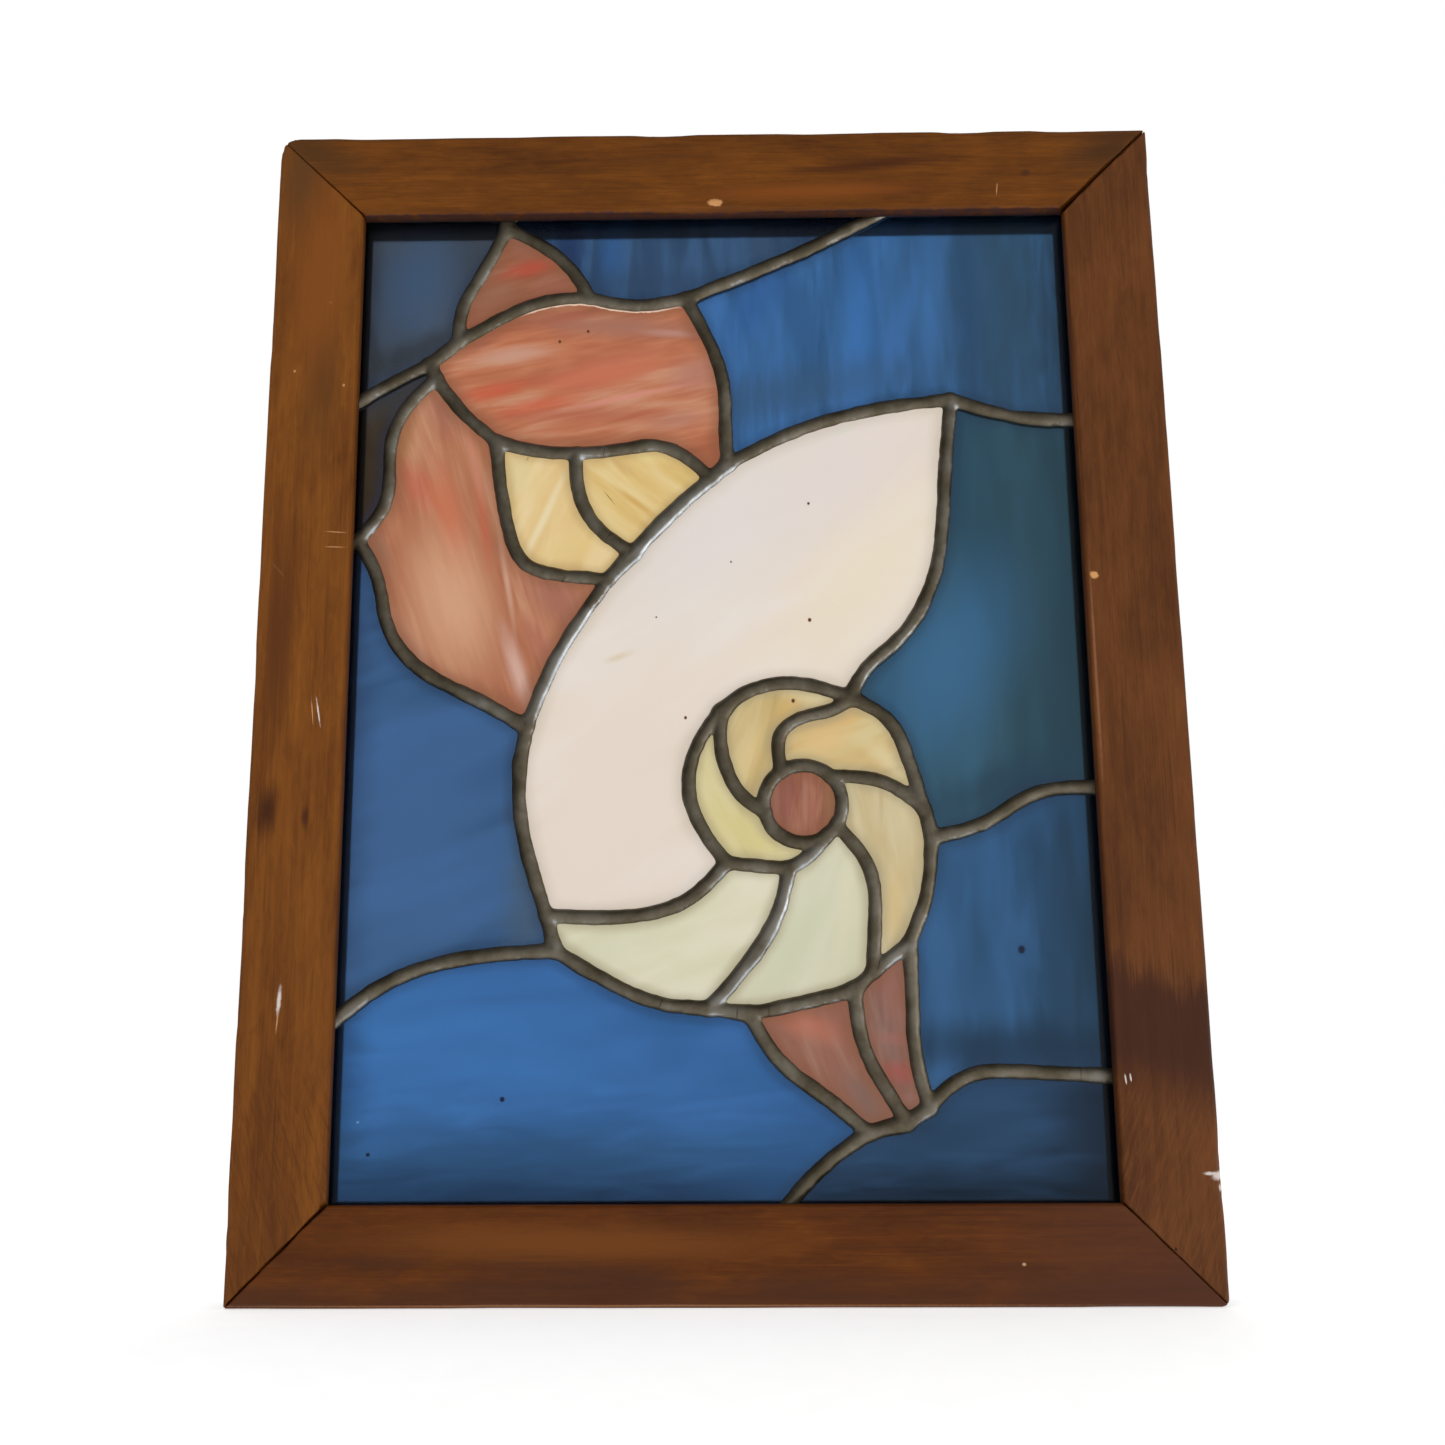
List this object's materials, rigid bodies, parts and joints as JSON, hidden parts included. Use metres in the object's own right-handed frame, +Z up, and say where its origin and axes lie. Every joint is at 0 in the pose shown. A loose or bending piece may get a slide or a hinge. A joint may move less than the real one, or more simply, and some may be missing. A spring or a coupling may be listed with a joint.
{
  "type": "stained glass window",
  "caption": "Small framed stained glass window with a nautilus shell in opal glass, soldered seams and a mitred brown wooden frame; hangs or is built in.",
  "frame": {"origin": "middle of the top rail's back face, where the window is held", "axes": "+Z up, +X to the right as seen from the front, +Y out of the back; the front faces -Y"},
  "size_m": [0.312, 0.019, 0.405],
  "materials": {
    "wood": "brown stain, thin and worn at the edges, small scratches and flecks of old paint",
    "solder": "tin and lead solder with a dark grey-brown patina, rubbed silver along some crowns",
    "blue_glass": "streaky blue opalescent glass, glossy",
    "pink_glass": "salmon pink opalescent glass with red and pale wisps, glossy",
    "cream_glass": "cream and amber opalescent glass, glossy",
    "chamber_glass": "pale cream to yellow-green opalescent glass, glossy",
    "white_glass": "warm white opalescent glass, glossy"
  },
  "bodies": {
    "root": {"top_rail": "wood", "bottom_rail": "wood", "left_rail": "wood", "right_rail": "wood", "solder_lines": "solder", "blue_glass_top_left": "blue_glass", "blue_glass_top": "blue_glass", "blue_glass_upper_right": "blue_glass", "blue_glass_right": "blue_glass", "blue_glass_lower_right": "blue_glass", "blue_glass_bottom_right": "blue_glass", "blue_glass_bottom_left": "blue_glass", "blue_glass_left": "blue_glass", "blue_glass_left_edge": "blue_glass", "pink_glass_hood_tip": "pink_glass", "pink_glass_hood": "pink_glass", "pink_glass_hood_left": "pink_glass", "pink_glass_tail_left": "pink_glass", "pink_glass_tail_right": "pink_glass", "pink_glass_eye": "pink_glass", "cream_glass_left": "cream_glass", "cream_glass_right": "cream_glass", "chamber_glass_1": "chamber_glass", "chamber_glass_2": "chamber_glass", "chamber_glass_3": "chamber_glass", "chamber_glass_4": "chamber_glass", "chamber_glass_5": "chamber_glass", "chamber_glass_6": "chamber_glass", "white_glass_shell": "white_glass"}
  },
  "joints": []
}
